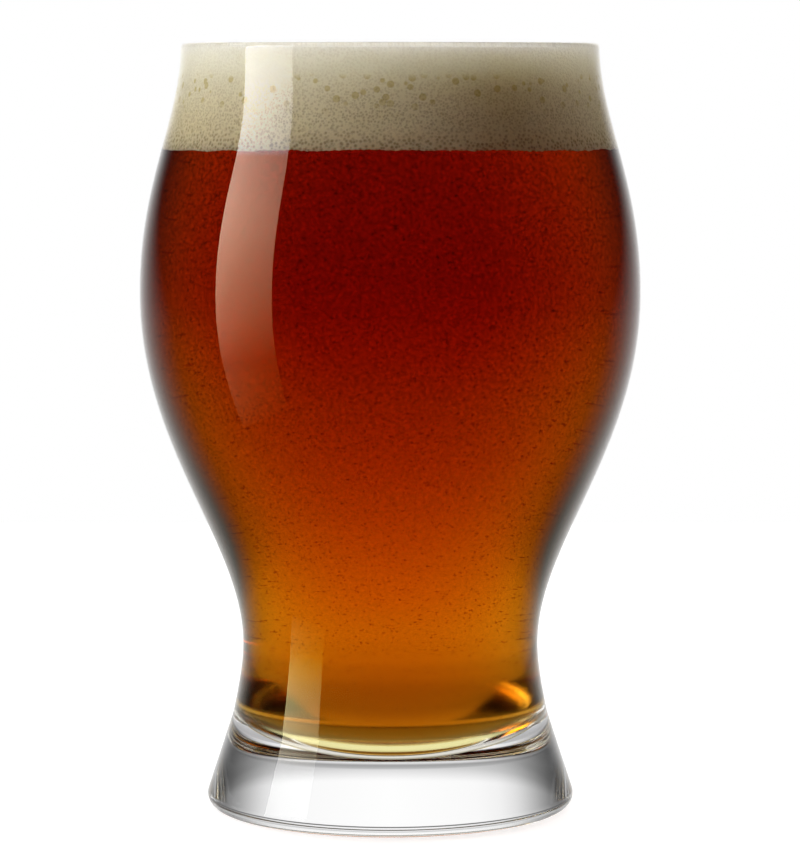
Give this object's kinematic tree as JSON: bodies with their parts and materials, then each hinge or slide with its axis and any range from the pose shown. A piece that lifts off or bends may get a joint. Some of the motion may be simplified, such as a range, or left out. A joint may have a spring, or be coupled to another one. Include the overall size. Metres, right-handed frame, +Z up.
{
  "type": "beer glass",
  "caption": "Bulbous clear beer glass with a drawn-in waist and a heavy conical foot, filled with amber ale under a thick head of foam.",
  "frame": {"origin": "centre of the flat underside, on the axis that the glass is turned about", "axes": "+Z up along the glass's axis; +X to the right and +Y away from the viewer in the picture's view"},
  "size_m": [0.0952, 0.0952, 0.146],
  "materials": {
    "clear_glass": "clear soda-lime glass, fire polished",
    "amber_beer": "clear amber liquid with fine rising bubbles",
    "beer_foam": "wet cream-coloured foam of fine bubbles"
  },
  "bodies": {
    "root": {"glass": "clear_glass", "beer": "amber_beer", "foam_head": "beer_foam"}
  },
  "joints": []
}
